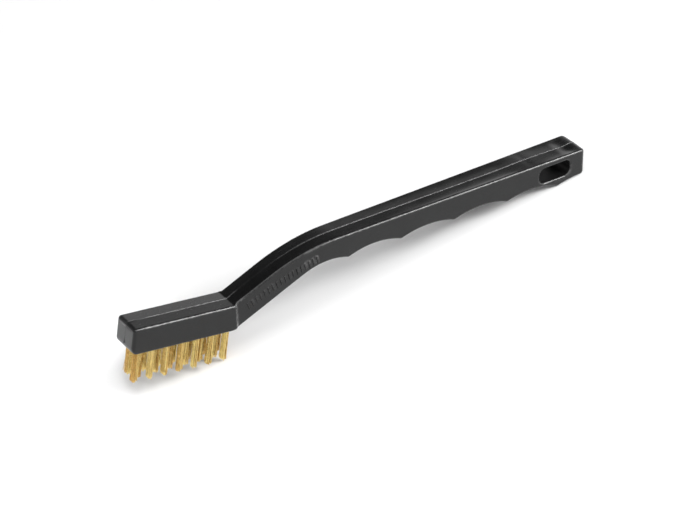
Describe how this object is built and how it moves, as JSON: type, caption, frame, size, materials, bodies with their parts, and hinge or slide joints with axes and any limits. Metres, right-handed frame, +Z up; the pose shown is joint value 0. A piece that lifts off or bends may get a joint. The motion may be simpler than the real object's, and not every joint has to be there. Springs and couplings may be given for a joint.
{
  "type": "wire scratch brush",
  "caption": "Small brass wire scratch brush: wire tufts wedged in a rounded head on a cranked plastic handle with finger scallops and a hang slot, for cleaning tips.",
  "frame": {"origin": "centre of the bounding box at the level the brush rests on", "axes": "+X along the brush from the head's tip to the tail, +Y across it to the far side, +Z up, with the brush lying on its rear tufts and the underside of its tail"},
  "size_m": [0.1918, 0.0128, 0.0333],
  "materials": {
    "black_plastic": "satin moulded black plastic",
    "brass_wire": "drawn and crimped wire",
    "anchor_steel": "plain flat strip"
  },
  "bodies": {
    "root": {"handle": "black_plastic", "tuft_near_1": "brass_wire", "tuft_near_2": "brass_wire", "tuft_near_3": "brass_wire", "tuft_near_4": "brass_wire", "tuft_near_5": "brass_wire", "tuft_near_6": "brass_wire", "tuft_near_7": "brass_wire", "tuft_middle_1": "brass_wire", "tuft_middle_2": "brass_wire", "tuft_middle_3": "brass_wire", "tuft_middle_4": "brass_wire", "tuft_middle_5": "brass_wire", "tuft_middle_6": "brass_wire", "tuft_far_1": "brass_wire", "tuft_far_2": "brass_wire", "tuft_far_3": "brass_wire", "tuft_far_4": "brass_wire", "tuft_far_5": "brass_wire", "tuft_far_6": "brass_wire", "tuft_far_7": "brass_wire", "anchor_near_1": "anchor_steel", "anchor_near_2": "anchor_steel", "anchor_near_3": "anchor_steel", "anchor_near_4": "anchor_steel", "anchor_near_5": "anchor_steel", "anchor_near_6": "anchor_steel", "anchor_near_7": "anchor_steel", "anchor_middle_1": "anchor_steel", "anchor_middle_2": "anchor_steel", "anchor_middle_3": "anchor_steel", "anchor_middle_4": "anchor_steel", "anchor_middle_5": "anchor_steel", "anchor_middle_6": "anchor_steel", "anchor_far_1": "anchor_steel", "anchor_far_2": "anchor_steel", "anchor_far_3": "anchor_steel", "anchor_far_4": "anchor_steel", "anchor_far_5": "anchor_steel", "anchor_far_6": "anchor_steel", "anchor_far_7": "anchor_steel"}
  },
  "joints": []
}
